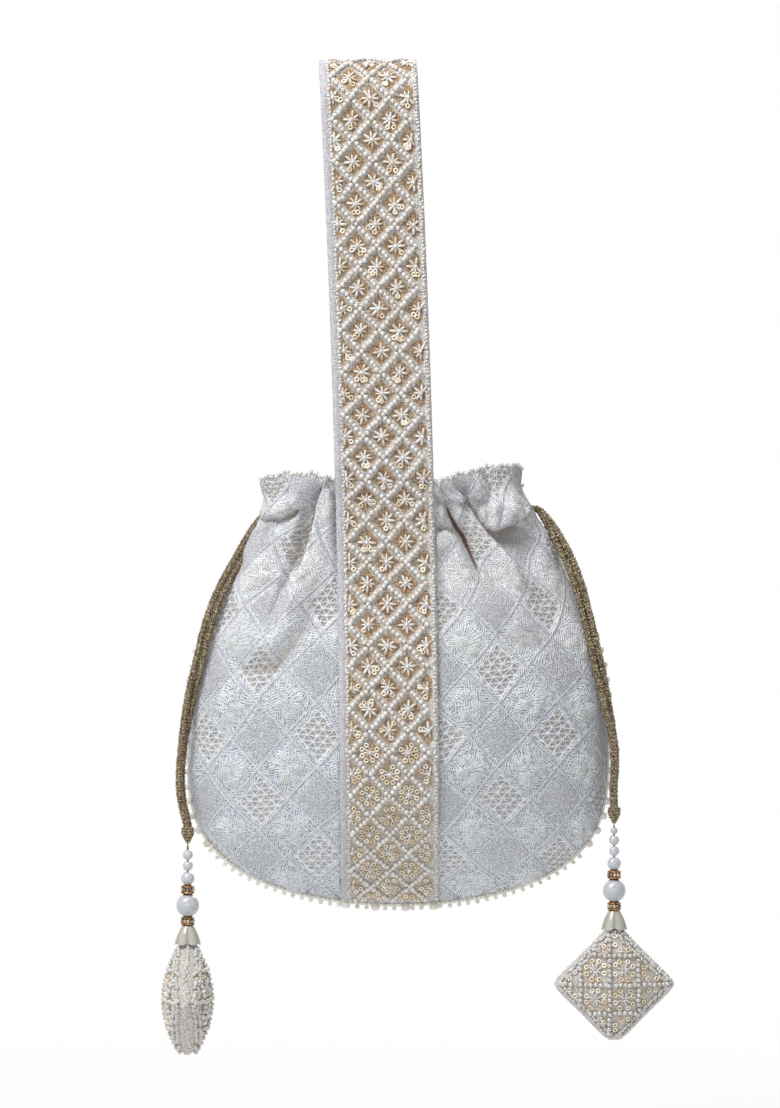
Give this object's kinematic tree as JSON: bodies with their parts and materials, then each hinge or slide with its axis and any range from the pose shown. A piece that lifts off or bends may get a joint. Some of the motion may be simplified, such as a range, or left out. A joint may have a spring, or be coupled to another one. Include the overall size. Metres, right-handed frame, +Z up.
{
  "type": "potli bag",
  "caption": "Gathered drawstring evening pouch of white embroidered cloth, hung from one broad pearl-beaded strap, with beaded cord tassels.",
  "frame": {"origin": "underside of the strap at the top of its arch, where the bag hangs from a hand or hook", "axes": "+Z up along the hanging bag, front faces -Y, +X to the right seen from the front"},
  "size_m": [0.2712, 0.0894, 0.533],
  "materials": {
    "embroidery": "matte",
    "lining": "satin",
    "beadwork": "satin",
    "backing": "matte",
    "pearl": "gloss",
    "zari": "satin",
    "gold": "polished",
    "thread": "matte"
  },
  "bodies": {
    "bag": {"front_panel": "embroidery", "back_panel": "embroidery", "lining": "lining", "beaded_strap": "beadwork", "strap_backing": "backing", "seam_pearls": "pearl", "left_drawcord_casing_run": "zari", "left_drawcord_front_tail": "zari", "left_drawcord_back_tail": "zari", "left_knot": "zari", "right_drawcord_casing_run": "zari", "right_drawcord_front_tail": "zari", "right_drawcord_back_tail": "zari", "right_knot": "zari"},
    "left_bead_string": {"left_thread": "thread", "left_pearl_small_upper": "pearl", "left_pearl_small_lower": "pearl", "left_pearl_medium": "pearl", "left_rondelle_upper": "gold", "left_pearl_large": "pearl", "left_rondelle_lower": "gold"},
    "left_charm_pad": {"left_petal_cap": "pearl", "left_charm": "beadwork"},
    "right_bead_string": {"right_thread": "thread", "right_pearl_tiny": "pearl", "right_pearl_small_upper": "pearl", "right_pearl_small_lower": "pearl", "right_pearl_medium": "pearl", "right_rondelle_upper": "gold", "right_pearl_large": "pearl", "right_rondelle_lower": "gold"},
    "right_charm_pad": {"right_petal_cap": "pearl", "right_charm": "beadwork"}
  },
  "joints": [
    {"name": "left_tassel_swing", "type": "hinge", "parent": "bag", "child": "left_bead_string", "pos_m": [-0.0956, -0.0125, -0.4145], "axis": [0, 1, 0], "range_deg": [-30, 60]},
    {"name": "left_charm_spin", "type": "hinge", "parent": "left_bead_string", "child": "left_charm_pad", "pos_m": [-0.0956, -0.0125, -0.4145], "axis": [0, 0, 1], "continuous": true},
    {"name": "right_tassel_swing", "type": "hinge", "parent": "bag", "child": "right_bead_string", "pos_m": [0.1306, -0.0125, -0.4039], "axis": [0, -1, 0], "range_deg": [-30, 60]},
    {"name": "right_charm_spin", "type": "hinge", "parent": "right_bead_string", "child": "right_charm_pad", "pos_m": [0.1306, -0.0125, -0.4039], "axis": [0, 0, 1], "continuous": true}
  ]
}
